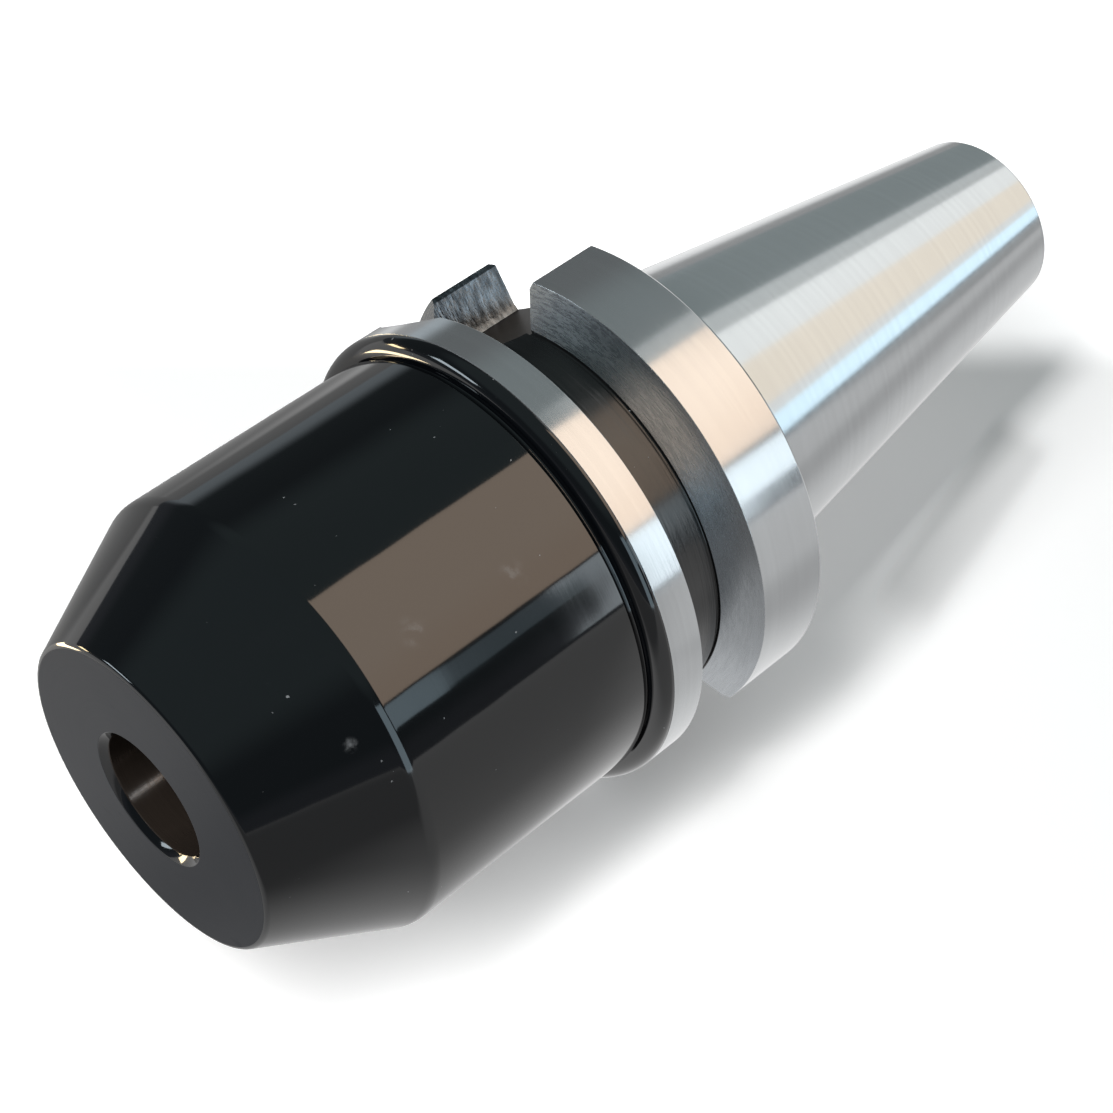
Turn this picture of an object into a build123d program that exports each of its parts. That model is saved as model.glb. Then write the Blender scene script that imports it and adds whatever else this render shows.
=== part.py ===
from build123d import *
import math
import os

# Side lock tool holder with a number 30 steep taper, for a cutter with a 12 mm shank.
# It lies on its side: X is the tool axis, the nose points to -X and the taper to +X.
# The origin is on the tool axis at the gauge line of the taper. Sizes are in millimetres.

# Taper shank
gauge_diameter = 31.75
taper_length = 48.4
taper_ratio = 7 / 24
taper_end_chamfer = 0.5
neck_radius = 15.2
neck_width = 1.2

# Flange for the changer's gripper
flange_diameter = 46.0
flange_rear_gap = 2.0
flange_rear_chamfer = 0.4
groove_center = 13.6
groove_width = 8.0
groove_floor_diameter = 39.0
groove_flank_angle = 30.0
groove_edge_break = 0.25
undercut_width = 0.5
undercut_depth = 0.25
front_land_end = 21.1

# Drive slots, one on each side
slot_width = 16.1
slot_floor_height = 16.3
slot_end_center = 11.4
slot_edge_chamfer = 0.6
slot_angle = 37.0
slot_count = 2

# Tool body
projection = 60.0
body_diameter = 43.0
nose_diameter = 30.0
cone_length = 12.5
nose_edge_chamfer = 0.3
shoulder_start = 22.6
relief_width = 0.6
relief_depth = 0.3

# Bore for the tool shank, and the bore behind it for the stop screw's seal
tool_bore_diameter = 12.0
tool_bore_length = 45.5
bore_mouth_chamfer = 0.45
bore_relief_width = 0.6
bore_relief_depth = 0.2
seal_bore_length = 6.4

# Hole for the pull stud
stud_tap_diameter = 10.2
stud_pilot_diameter = 12.5
stud_pilot_length = 7.0
stud_mouth_chamfer = 0.6
coolant_hole_diameter = 7.0
coolant_hole_length = 1.9

# Clearances
screw_clearance = 0.05
seal_clearance = 0.05

# Clamping screw, pressing on the flat of the tool shank
clamp_thread_diameter = 12.0
clamp_length = 16.0
clamp_from_nose = 22.5
clamp_tip_clearance = 0.2
clamp_tip_chamfer = 1.2
clamp_head_chamfer = 0.6
clamp_socket_width = 6.0
clamp_socket_depth = 6.5
clamp_hole_chamfer = 0.4
clamp_seal_section = 1.3
clamp_seal_from_head = 11.0
clamp_angle_from_slot = 90.0

# Stop screw, which sets how deep the tool shank goes in
stop_thread_diameter = 10.0
stop_thread_length = 20.0
stop_shank_length = 14.0
stop_head_length = 4.0
stop_head_clearance = 0.3
stop_head_chamfer = 0.4
stop_tip_chamfer = 0.8
stop_from_shoulder = 2.0
stop_socket_width = 5.0
stop_socket_depth = 4.5
stop_coolant_diameter = 3.4
stop_seal_section = 1.3

# Seal grooves
groove_side_play = 0.15

# Places that follow from the sizes above
flange_radius = flange_diameter / 2
body_radius = body_diameter / 2
nose_radius = nose_diameter / 2
gauge_radius = gauge_diameter / 2
tool_bore_radius = tool_bore_diameter / 2
small_end_radius = gauge_radius - taper_length * taper_ratio / 2
nose_x = -projection
cone_end_x = nose_x + cone_length
shoulder_x = -shoulder_start
shoulder_run = shoulder_start - front_land_end
land_front_x = -front_land_end
flange_rear_x = -flange_rear_gap
tool_bore_end_x = nose_x + tool_bore_length
seal_bore_start_x = tool_bore_end_x + bore_relief_width
seal_bore_end_x = seal_bore_start_x + seal_bore_length
stop_thread_end_x = seal_bore_end_x + stop_thread_length
stud_hole_end_x = stop_thread_end_x + coolant_hole_length
clamp_x = nose_x + clamp_from_nose
clamp_hole_radius = clamp_thread_diameter / 2 + screw_clearance
stop_hole_radius = stop_thread_diameter / 2 + screw_clearance


def turned(points):
    """Turn a closed outline of (x, radius) points about the tool axis."""
    outline = make_face(Polyline(*[(x, radius, 0) for x, radius in points], close=True))
    return revolve(outline, Axis.X, 360)


def turned_ring(radius, section, x=0.0):
    """A round seal ring about the tool axis, with its middle at x."""
    return Plane(origin=(x, 0, 0), z_dir=(1, 0, 0)) * Torus(radius, section / 2)


def bar(radius, start_x, end_x):
    """A round bar along the tool axis."""
    length = end_x - start_x
    base = Plane(origin=(start_x, 0, 0), z_dir=(1, 0, 0))
    return base * Cylinder(radius, length, align=(Align.CENTER, Align.CENTER, Align.MIN))


def hex_bar(width, start_x, end_x):
    """A six-sided bar along the tool axis, measured across its flats."""
    base = Plane(origin=(start_x, 0, 0), z_dir=(1, 0, 0))
    outline = base * RegularPolygon(width / math.sqrt(3), 6)
    return extrude(outline, amount=end_x - start_x, dir=(1, 0, 0))


def radial_plane(x, roll):
    """A plane on the tool axis whose normal points outward, turned by roll from straight up."""
    turn = math.radians(roll)
    outward = (0, math.sin(turn), math.cos(turn))
    return Plane(origin=(x, 0, 0), x_dir=(1, 0, 0), z_dir=outward)


def slot_rolls():
    """The turn of each drive slot from straight up."""
    return [slot_angle + 360 / slot_count * index for index in range(slot_count)]


def clamp_roll():
    """The clamping screw stands a quarter turn from the drive slots."""
    return slot_angle + clamp_angle_from_slot


def slot_cutter(roll):
    """What the milling cutter takes away for one drive slot, with its broken edges."""
    reach = flange_diameter
    width = slot_width
    round_end = Pos(-slot_end_center, 0, 0) * Circle(width / 2)
    straight = Pos(-slot_end_center, 0, 0) * Rectangle(reach, width, align=(Align.MIN, Align.CENTER))
    plan = round_end + straight
    cutter = extrude(Pos(0, 0, slot_floor_height) * plan, amount=reach)
    wall_top = math.sqrt(flange_radius**2 - (width / 2) ** 2)
    start = wall_top - slot_edge_chamfer
    spread = width / 2 + reach / 2
    bevel = make_face(
        Polyline(
            (-slot_end_center, -width / 2, start),
            (-slot_end_center, -spread, start + reach / 2),
            (-slot_end_center, spread, start + reach / 2),
            (-slot_end_center, width / 2, start),
            close=True,
        )
    )
    bevels = extrude(bevel, amount=reach, dir=(1, 0, 0))
    return radial_plane(0, roll) * (cutter + bevels)


def taper_shank():
    """The ground taper, with the hole for the pull stud and the end of the stop screw's thread."""
    chamfer_radius = small_end_radius + taper_end_chamfer * taper_ratio / 2
    neck_x = flange_rear_x + neck_width
    shape = turned(
        [
            (flange_rear_x, 0),
            (flange_rear_x, neck_radius),
            (neck_x, neck_radius),
            (neck_x, gauge_radius - neck_x * taper_ratio / 2),
            (taper_length - taper_end_chamfer, chamfer_radius),
            (taper_length, chamfer_radius - taper_end_chamfer),
            (taper_length, 0),
        ]
    )
    shape -= bar(stop_hole_radius, flange_rear_x, stop_thread_end_x)
    shape -= bar(coolant_hole_diameter / 2, stop_thread_end_x, stud_hole_end_x)
    pilot_x = taper_length - stud_pilot_length
    shape -= bar(stud_tap_diameter / 2, stud_hole_end_x, pilot_x)
    shape -= bar(stud_pilot_diameter / 2, pilot_x, taper_length)
    mouth_radius = stud_pilot_diameter / 2 + stud_mouth_chamfer
    mouth = [
        (taper_length - stud_mouth_chamfer, 0),
        (taper_length - stud_mouth_chamfer, stud_pilot_diameter / 2),
        (taper_length, mouth_radius),
        (taper_length, 0),
    ]
    return shape - turned(mouth)


def drive_flange():
    """The gripper flange: two ground rims, the V groove between them and the two drive slots."""
    floor_radius = groove_floor_diameter / 2
    depth = flange_radius - floor_radius
    run = depth * math.tan(math.radians(groove_flank_angle))
    break_run = groove_edge_break * math.tan(math.radians(groove_flank_angle))
    front_x = -groove_center - groove_width / 2
    rear_x = -groove_center + groove_width / 2
    foot_x = rear_x - run
    shape = turned(
        [
            (land_front_x, 0),
            (land_front_x, flange_radius),
            (front_x - groove_edge_break, flange_radius),
            (front_x + break_run, flange_radius - groove_edge_break),
            (front_x + run, floor_radius),
            (foot_x - undercut_width, floor_radius),
            (foot_x - undercut_width, floor_radius - undercut_depth),
            (foot_x, floor_radius - undercut_depth),
            (foot_x, floor_radius),
            (rear_x - break_run, flange_radius - groove_edge_break),
            (rear_x + groove_edge_break, flange_radius),
            (flange_rear_x - flange_rear_chamfer, flange_radius),
            (flange_rear_x, flange_radius - flange_rear_chamfer),
            (flange_rear_x, 0),
        ]
    )
    for roll in slot_rolls():
        shape -= slot_cutter(roll)
    shape -= bar(tool_bore_radius, land_front_x, seal_bore_end_x)
    shape -= bar(tool_bore_radius + bore_relief_depth, tool_bore_end_x, seal_bore_start_x)
    return shape - bar(stop_hole_radius, seal_bore_end_x, flange_rear_x)


def tool_body():
    """The black body and its cone, with the tool bore and the hole for the clamping screw."""
    relief_front_x = shoulder_x - relief_width
    shape = turned(
        [
            (nose_x, 0),
            (nose_x, nose_radius - nose_edge_chamfer),
            (nose_x + nose_edge_chamfer, nose_radius),
            (cone_end_x, body_radius),
            (relief_front_x, body_radius),
            (relief_front_x, body_radius - relief_depth),
            (shoulder_x, body_radius - relief_depth),
            (shoulder_x, flange_radius - shoulder_run),
            (land_front_x, flange_radius),
            (land_front_x, 0),
        ]
    )
    shape -= bar(tool_bore_radius, nose_x, land_front_x)
    mouth = [
        (nose_x, 0),
        (nose_x, tool_bore_radius + bore_mouth_chamfer),
        (nose_x + bore_mouth_chamfer, tool_bore_radius),
        (nose_x + bore_mouth_chamfer, 0),
    ]
    shape -= turned(mouth)
    plane = radial_plane(clamp_x, clamp_roll())
    hole = Cylinder(clamp_hole_radius, flange_diameter, align=(Align.CENTER, Align.CENTER, Align.MIN))
    mouth_height = body_radius - clamp_hole_chamfer
    countersink = Pos(0, 0, mouth_height) * Cone(
        clamp_hole_radius,
        clamp_hole_radius + flange_radius,
        flange_radius,
        align=(Align.CENTER, Align.CENTER, Align.MIN),
    )
    return shape - plane * (hole + countersink)


def clamp_screw():
    """The clamping screw, standing clear of the tool bore, with a socket and a seal groove."""
    radius = clamp_thread_diameter / 2
    tip_x = tool_bore_radius + clamp_tip_clearance
    head_x = tip_x + clamp_length
    seal_x = head_x - clamp_seal_from_head
    half_groove = clamp_seal_section / 2 + groove_side_play
    groove_radius = clamp_hole_radius - clamp_seal_section - 2 * seal_clearance
    shape = turned(
        [
            (tip_x, 0),
            (tip_x, radius - clamp_tip_chamfer),
            (tip_x + clamp_tip_chamfer, radius),
            (seal_x - half_groove, radius),
            (seal_x - half_groove, groove_radius),
            (seal_x + half_groove, groove_radius),
            (seal_x + half_groove, radius),
            (head_x - clamp_head_chamfer, radius),
            (head_x, radius - clamp_head_chamfer),
            (head_x, 0),
        ]
    )
    shape -= hex_bar(clamp_socket_width, head_x - clamp_socket_depth, head_x)
    return along_clamp(shape)


def clamp_seal():
    """The seal ring in the clamping screw's groove."""
    head_x = tool_bore_radius + clamp_tip_clearance + clamp_length
    ring_radius = clamp_hole_radius - seal_clearance - clamp_seal_section / 2
    return along_clamp(turned_ring(ring_radius, clamp_seal_section, head_x - clamp_seal_from_head))


def along_clamp(shape):
    """Stand a shape made along the tool axis on the clamping screw's axis instead."""
    plane = radial_plane(clamp_x, clamp_roll())
    return plane * (Rot(0, -90, 0) * shape)


def stop_places():
    """The stop screw's ends and the middle of its seal, along the tool axis."""
    head_rear_x = seal_bore_end_x - stop_from_shoulder
    head_front_x = head_rear_x - stop_head_length
    return head_front_x, head_rear_x, head_rear_x + stop_shank_length


def stop_screw():
    """The stop screw, with a socket in its head and a coolant hole through it."""
    head_front_x, head_rear_x, tip_x = stop_places()
    head_radius = tool_bore_radius - stop_head_clearance
    shank_radius = stop_thread_diameter / 2
    seal_x = (head_front_x + head_rear_x) / 2
    half_groove = stop_seal_section / 2 + groove_side_play
    groove_radius = tool_bore_radius - stop_seal_section - 2 * seal_clearance
    shape = turned(
        [
            (head_front_x, 0),
            (head_front_x, head_radius - stop_head_chamfer),
            (head_front_x + stop_head_chamfer, head_radius),
            (seal_x - half_groove, head_radius),
            (seal_x - half_groove, groove_radius),
            (seal_x + half_groove, groove_radius),
            (seal_x + half_groove, head_radius),
            (head_rear_x, head_radius),
            (head_rear_x, shank_radius),
            (tip_x - stop_tip_chamfer, shank_radius),
            (tip_x, shank_radius - stop_tip_chamfer),
            (tip_x, 0),
        ]
    )
    shape -= hex_bar(stop_socket_width, head_front_x, head_front_x + stop_socket_depth)
    return shape - bar(stop_coolant_diameter / 2, head_front_x, tip_x)


def stop_seal():
    """The seal ring in the stop screw's groove."""
    head_front_x, head_rear_x, tip_x = stop_places()
    ring_radius = tool_bore_radius - seal_clearance - stop_seal_section / 2
    return turned_ring(ring_radius, stop_seal_section, (head_front_x + head_rear_x) / 2)


parts = {
    "taper_shank": taper_shank(),
    "drive_flange": drive_flange(),
    "tool_body": tool_body(),
    "clamp_screw": clamp_screw(),
    "clamp_seal": clamp_seal(),
    "stop_screw": stop_screw(),
    "stop_seal": stop_seal(),
}

os.makedirs("parts", exist_ok=True)
for name, shape in parts.items():
    export_step(shape, f"parts/{name}.step")
    print(name, round(shape.volume), "mm3")
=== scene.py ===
# %% [markdown]
# # A side lock tool holder
# This tool holder carries a milling cutter in a machine's spindle. A steep taper centres it, two
# slots in its flange take the spindle's drive keys, and a screw through its side presses on the
# cutter's flat. Here the plain CAD parts are opened, and each is modelled again with finer edges,
# threads and finishes.

import math

import bpy
from mathutils import Matrix, Vector


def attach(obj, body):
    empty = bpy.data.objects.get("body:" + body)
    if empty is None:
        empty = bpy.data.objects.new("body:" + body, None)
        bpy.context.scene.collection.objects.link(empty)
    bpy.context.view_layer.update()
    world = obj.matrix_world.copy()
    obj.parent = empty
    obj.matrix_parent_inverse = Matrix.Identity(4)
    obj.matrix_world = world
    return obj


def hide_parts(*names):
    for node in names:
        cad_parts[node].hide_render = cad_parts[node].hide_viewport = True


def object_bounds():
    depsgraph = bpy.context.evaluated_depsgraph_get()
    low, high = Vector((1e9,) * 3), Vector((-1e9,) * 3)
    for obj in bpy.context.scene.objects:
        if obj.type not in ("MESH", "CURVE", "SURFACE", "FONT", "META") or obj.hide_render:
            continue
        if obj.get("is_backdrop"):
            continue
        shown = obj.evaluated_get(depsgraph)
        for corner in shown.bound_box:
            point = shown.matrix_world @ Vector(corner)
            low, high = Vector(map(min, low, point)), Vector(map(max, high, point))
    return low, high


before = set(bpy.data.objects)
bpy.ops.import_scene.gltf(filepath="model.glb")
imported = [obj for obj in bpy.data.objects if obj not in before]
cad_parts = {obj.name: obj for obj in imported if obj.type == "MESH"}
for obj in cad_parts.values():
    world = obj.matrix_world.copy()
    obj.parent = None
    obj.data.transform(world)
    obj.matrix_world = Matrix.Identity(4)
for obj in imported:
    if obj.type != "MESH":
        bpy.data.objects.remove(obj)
cad_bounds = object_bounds()
MM = 0.001
print("CAD parts:", sorted(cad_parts))

# %% [markdown]
# ## Small helpers for modelling
# An operator acts on all that is selected, so each helper first deselects everything and then works
# on one piece. Faces are selected by a rule, such as which way they look, as is done by eye on the
# screen.

# %% Select and clean


def deselect_all():
    """Go to object mode with nothing selected."""
    if bpy.context.object and bpy.context.object.mode != "OBJECT":
        bpy.ops.object.mode_set(mode="OBJECT")
    bpy.ops.object.select_all(action="DESELECT")


def select_only(piece):
    """Leave one object selected and active, with Blender in object mode."""
    deselect_all()
    bpy.context.view_layer.objects.active = piece
    piece.select_set(True)


def start_piece(name, add, **settings):
    """Add a primitive with nothing else selected, and name it."""
    deselect_all()
    add(**settings)
    piece = bpy.context.object
    piece.name = name
    return piece


def pick_faces(piece, rule):
    """Go into edit mode with just the faces selected that the rule names."""
    select_only(piece)
    bpy.ops.object.mode_set(mode="EDIT")
    bpy.ops.mesh.select_mode(type="FACE")
    bpy.ops.mesh.select_all(action="DESELECT")
    bpy.ops.object.mode_set(mode="OBJECT")
    for face in piece.data.polygons:
        face.select = rule(face)
    bpy.ops.object.mode_set(mode="EDIT")
    bpy.ops.mesh.select_mode(type="VERT")


def settle(piece):
    """Put the place of an object into its mesh, so that the object itself sits at the origin."""
    select_only(piece)
    bpy.ops.object.transform_apply(location=True, rotation=True, scale=True)


def clean(piece):
    """Merge doubled points and turn all faces outward."""
    select_only(piece)
    bpy.ops.object.mode_set(mode="EDIT")
    bpy.ops.mesh.select_all(action="SELECT")
    bpy.ops.mesh.remove_doubles(threshold=1e-7)
    bpy.ops.mesh.normals_make_consistent(inside=False)
    bpy.ops.object.mode_set(mode="OBJECT")


def apply_all(piece):
    """Apply every modifier in order."""
    select_only(piece)
    for modifier in list(piece.modifiers):
        bpy.ops.object.modifier_apply(modifier=modifier.name)


print("selecting and cleaning helpers ready")

# %% [markdown]
# Most pieces of this holder are turned on a lathe. A lathe is easy to copy: a single point is
# extruded step by step into an outline, and the outline is spun about the tool axis. The outline
# could also be drawn as a curve, but points are easier to change. Small bevels break the edges,
# because no real edge is perfectly sharp, and a Boolean modifier cuts or joins.

# %% Turn, cut and shade
ROUND = 256


def turned(name, outline, steps=ROUND):
    """Spin an outline of (x, radius) points in millimetres about the tool axis."""
    x, radius = outline[0]
    piece = start_piece(name, bpy.ops.mesh.primitive_plane_add, size=MM)
    bpy.ops.object.mode_set(mode="EDIT")
    bpy.ops.mesh.merge(type="CENTER")
    bpy.ops.transform.translate(value=(x * MM, 0, radius * MM))
    for next_x, next_radius in outline[1:]:
        step = ((next_x - x) * MM, 0, (next_radius - radius) * MM)
        bpy.ops.mesh.extrude_region_move(TRANSFORM_OT_translate={"value": step})
        x, radius = next_x, next_radius
    bpy.ops.mesh.select_all(action="SELECT")
    bpy.ops.mesh.spin(steps=steps, angle=math.tau, center=(0, 0, 0), axis=(1, 0, 0))
    bpy.ops.object.mode_set(mode="OBJECT")
    clean(piece)
    return piece


def round_edges(piece, width, segments=2, angle=18):
    """Break the edges that turn by more than an angle in degrees with a small rounded bevel."""
    bevel = piece.modifiers.new("edges", "BEVEL")
    bevel.width = width * MM
    bevel.segments = segments
    bevel.limit_method = "ANGLE"
    bevel.angle_limit = math.radians(angle)
    bevel.miter_outer = "MITER_ARC"
    apply_all(piece)


def combine(piece, other, operation="DIFFERENCE"):
    """Cut another mesh out of a piece, join it on, or keep what both share."""
    cut = piece.modifiers.new("cut", "BOOLEAN")
    cut.operation = operation
    cut.solver = "EXACT"
    cut.object = other
    apply_all(piece)
    bpy.data.objects.remove(other)


def smooth(piece, angle=38):
    """Shade the round faces smooth, and keep flat faces flat beside their small bevels."""
    select_only(piece)
    bpy.ops.object.shade_smooth_by_angle(angle=math.radians(angle))
    weigh = piece.modifiers.new("weigh", "WEIGHTED_NORMAL")
    weigh.keep_sharp = True
    apply_all(piece)


print("round parts have", ROUND, "sides")

# %% [markdown]
# ## Sizes of the holder
# The tool axis is X. The nose points to minus X and the taper to plus X, and the origin is at the
# gauge line of the taper. These sizes, in millimetres, are those of the CAD parts. The screws have
# theirs beside their outlines.

# %% Sizes
# Radii from the tool axis.
FLANGE = 23.0
BODY = 21.5
NOSE = 15.0
GROOVE_FLOOR = 19.5
GAUGE_LINE = 15.875
BORE = 6.0
STOP_HOLE = 5.05
# Places along the axis, from the nose to the small end of the taper.
NOSE_X = -60.0
CONE_END_X = -47.5
SHOULDER_X = -22.6
LAND_FRONT_X = -21.1
GROOVE_FRONT_X = -17.6
GROOVE_REAR_X = -9.6
FLANGE_REAR_X = -2.0
SMALL_END_X = 48.4
# The drive slots: their angle from straight up, their round end's centre, and the low sloping foot
# of their walls, which leans in by this much on each side.
SLOT_ROLL = 37.0
SLOT_WIDTH = 16.1
SLOT_FLOOR = 16.3
SLOT_END_X = -11.4
SLOT_FOOT = 0.65
SLOT_FOOT_LEAN = 0.22
# The clamping screw's axis, a quarter turn from the slots.
CLAMP_X = -37.5
CLAMP_ROLL = SLOT_ROLL + 90


def taper_radius(x):
    """The taper's radius at x, 7 in 24 on the diameter."""
    return GAUGE_LINE - x * 7 / 48


def stand_out(piece, roll, x=0.0):
    """Turn a mesh made along +Z so that it points outward at this roll from straight up, at x."""
    turn = Matrix.Translation((x * MM, 0, 0)) @ Matrix.Rotation(-math.radians(roll), 4, "X")
    piece.data.transform(turn)
    return piece


print("small end radius", round(taper_radius(SMALL_END_X), 3), "mm")

# %% [markdown]
# ## Ground taper
# The taper is ground all over, because it centres the holder in the spindle. Its outline is a few
# straight lines with small chamfers, and the same outline goes on into the hole for the pull stud.
# One closed outline keeps the wall watertight, which a cone with holes cut into it might not be.

# %% Model the taper
SMALL_END_EDGE = 0.5
UNDERCUT = 15.2
UNDERCUT_END_X = -0.8
PILOT = 6.25
PILOT_EDGE = 0.6
PILOT_END_X = SMALL_END_X - 7.0
STUD_HOLE = 5.1
STUD_HOLE_END_X = SMALL_END_X - 34.0
STOP_HOLE_END_X = 12.5
COOLANT_HOLE = 3.5
END_RADIUS = taper_radius(SMALL_END_X - SMALL_END_EDGE)
shank = turned(
    "ground_taper",
    [
        (FLANGE_REAR_X, STOP_HOLE),
        (FLANGE_REAR_X, UNDERCUT),
        (UNDERCUT_END_X, UNDERCUT),
        (UNDERCUT_END_X, taper_radius(UNDERCUT_END_X)),
        (SMALL_END_X - SMALL_END_EDGE, END_RADIUS),
        (SMALL_END_X, END_RADIUS - SMALL_END_EDGE),
        (SMALL_END_X, PILOT + PILOT_EDGE),
        (SMALL_END_X - PILOT_EDGE, PILOT),
        (PILOT_END_X, PILOT),
        (PILOT_END_X, STUD_HOLE),
        (STUD_HOLE_END_X, STUD_HOLE),
        (STUD_HOLE_END_X, COOLANT_HOLE),
        (STOP_HOLE_END_X, COOLANT_HOLE),
        (STOP_HOLE_END_X, STOP_HOLE),
        (FLANGE_REAR_X, STOP_HOLE),
    ],
)
round_edges(shank, 0.06)
print("taper faces:", len(shank.data.polygons))

# %% [markdown]
# ## Screw threads
# A thread is one ridge that winds round a cylinder. Its section is a plane with the outer edge
# drawn narrower, and the Screw modifier winds it along the axis. The same coil cuts the nut thread
# in a hole. A bump map would be cheaper, but its edge against the light would stay a straight line.

# %% Wind a coil
M12_PITCH = 1.75
FOOT_SHARE = 0.86  # how much of the pitch the foot of the ridge takes up
CREST_SHARE = 0.16  # how much of its foot is left at the crest


def coil(name, root, crest, pitch, start_x, end_x, steps=64):
    """A closed coil along the tool axis, wide at its root radius and narrow at its crest radius."""
    depth = abs(crest - root)
    middle = (root + crest) / 2
    piece = start_piece(
        name,
        bpy.ops.mesh.primitive_plane_add,
        size=MM,
        location=(start_x * MM, 0, middle * MM),
        rotation=(math.pi / 2, 0, 0),
    )
    piece.scale = (pitch * FOOT_SHARE, depth, 1)
    settle(piece)
    bpy.ops.object.mode_set(mode="EDIT")
    bpy.ops.mesh.select_all(action="DESELECT")
    bpy.ops.object.mode_set(mode="OBJECT")
    outer = max if crest > root else min
    edge = outer(point.co.z for point in piece.data.vertices)
    for point in piece.data.vertices:
        point.select = abs(point.co.z - edge) < 1e-6
    bpy.ops.object.mode_set(mode="EDIT")
    bpy.ops.transform.resize(
        value=(CREST_SHARE, 1, 1),
        center_override=(start_x * MM, 0, edge),
    )
    bpy.ops.mesh.select_all(action="SELECT")
    bpy.ops.mesh.delete(type="ONLY_FACE")
    bpy.ops.object.mode_set(mode="OBJECT")
    winding = piece.modifiers.new("wind", "SCREW")
    winding.axis = "X"
    winding.steps = steps
    winding.render_steps = steps
    winding.iterations = max(1, round((end_x - start_x) / pitch))
    winding.screw_offset = pitch * MM
    winding.use_merge_vertices = False
    apply_all(piece)
    bpy.ops.object.mode_set(mode="EDIT")
    bpy.ops.mesh.select_all(action="DESELECT")
    bpy.ops.mesh.select_mode(type="EDGE")
    bpy.ops.mesh.select_non_manifold()
    bpy.ops.mesh.fill()
    bpy.ops.mesh.select_mode(type="VERT")
    bpy.ops.object.mode_set(mode="OBJECT")
    clean(piece)
    return piece


combine(shank, coil("stud_thread", root=5.0, crest=6.0, pitch=M12_PITCH, start_x=14.6, end_x=43.0))
print("taper with its stud thread:", len(shank.data.polygons), "faces")

# %% [markdown]
# ## Flange with its groove and drive slots
# The tool changer grips the holder by the V groove. The flange is turned first, with a small
# undercut at the foot of the groove's rear flank and a relief groove in the bore under it. A plain
# disc with the groove cut out would give the same form, but the outline shows every size at once.

# %% Turn the flange
GROOVE_RUN = (FLANGE - GROOVE_FLOOR) * math.tan(math.radians(30))
GROOVE_FOOT_X = GROOVE_REAR_X - GROOVE_RUN
UNDERCUT_START_X = GROOVE_FOOT_X - 0.5
UNDERCUT_FLOOR = GROOVE_FLOOR - 0.25
REAR_EDGE = 0.4
BORE_END_X = -7.5
RELIEF = BORE + 0.2
RELIEF_FRONT_X = -14.5
RELIEF_REAR_X = -13.9
flange = turned(
    "drive_flange_finished",
    [
        (LAND_FRONT_X, BORE),
        (LAND_FRONT_X, FLANGE),
        (GROOVE_FRONT_X, FLANGE),
        (GROOVE_FRONT_X + GROOVE_RUN, GROOVE_FLOOR),
        (UNDERCUT_START_X, GROOVE_FLOOR),
        (UNDERCUT_START_X, UNDERCUT_FLOOR),
        (GROOVE_FOOT_X, UNDERCUT_FLOOR),
        (GROOVE_FOOT_X, GROOVE_FLOOR),
        (GROOVE_REAR_X, FLANGE),
        (FLANGE_REAR_X - REAR_EDGE, FLANGE),
        (FLANGE_REAR_X, FLANGE - REAR_EDGE),
        (FLANGE_REAR_X, STOP_HOLE),
        (BORE_END_X, STOP_HOLE),
        (BORE_END_X, BORE),
        (RELIEF_REAR_X, BORE),
        (RELIEF_REAR_X, RELIEF),
        (RELIEF_FRONT_X, RELIEF),
        (RELIEF_FRONT_X, BORE),
        (LAND_FRONT_X, BORE),
    ],
)
round_edges(flange, 0.04)
print("flange faces:", len(flange.data.polygons))

# %% [markdown]
# An end mill cuts each drive slot from outside, so the slot has a round end. The way of the cutter
# is half a cylinder, drawn out past the rear face, and its foot is inset a little because the
# slot's walls lean in just above the floor. A wedge over it breaks the slot's long edges, where a
# bevel on the finished flange would run into the groove.

# %% Mill the drive slots
CUTTER_REACH = 20.0
WEDGE_HEIGHT = 10.0
EDGE_BREAK = 0.6


def slot_cutter(roll):
    """The way of the cutter: half a cylinder, drawn out along the axis past the rear face."""
    piece = start_piece(
        "slot_cutter",
        bpy.ops.mesh.primitive_cylinder_add,
        vertices=128,
        radius=SLOT_WIDTH / 2 * MM,
        depth=CUTTER_REACH * MM,
        location=(SLOT_END_X * MM, 0, (SLOT_FLOOR + SLOT_FOOT + CUTTER_REACH / 2) * MM),
    )
    settle(piece)
    bpy.ops.object.mode_set(mode="EDIT")
    bpy.ops.mesh.select_all(action="SELECT")
    bpy.ops.mesh.bisect(
        plane_co=(SLOT_END_X * MM, 0, 0), plane_no=(1, 0, 0), clear_outer=True, use_fill=True
    )
    bpy.ops.mesh.extrude_region_move(TRANSFORM_OT_translate={"value": (CUTTER_REACH * MM, 0, 0)})
    bpy.ops.object.mode_set(mode="OBJECT")
    clean(piece)
    pick_faces(piece, lambda face: face.normal.z < -0.9)
    bpy.ops.mesh.inset(thickness=SLOT_FOOT_LEAN * MM, depth=SLOT_FOOT * MM)
    bpy.ops.object.mode_set(mode="OBJECT")
    clean(piece)
    return stand_out(piece, roll)


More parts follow.
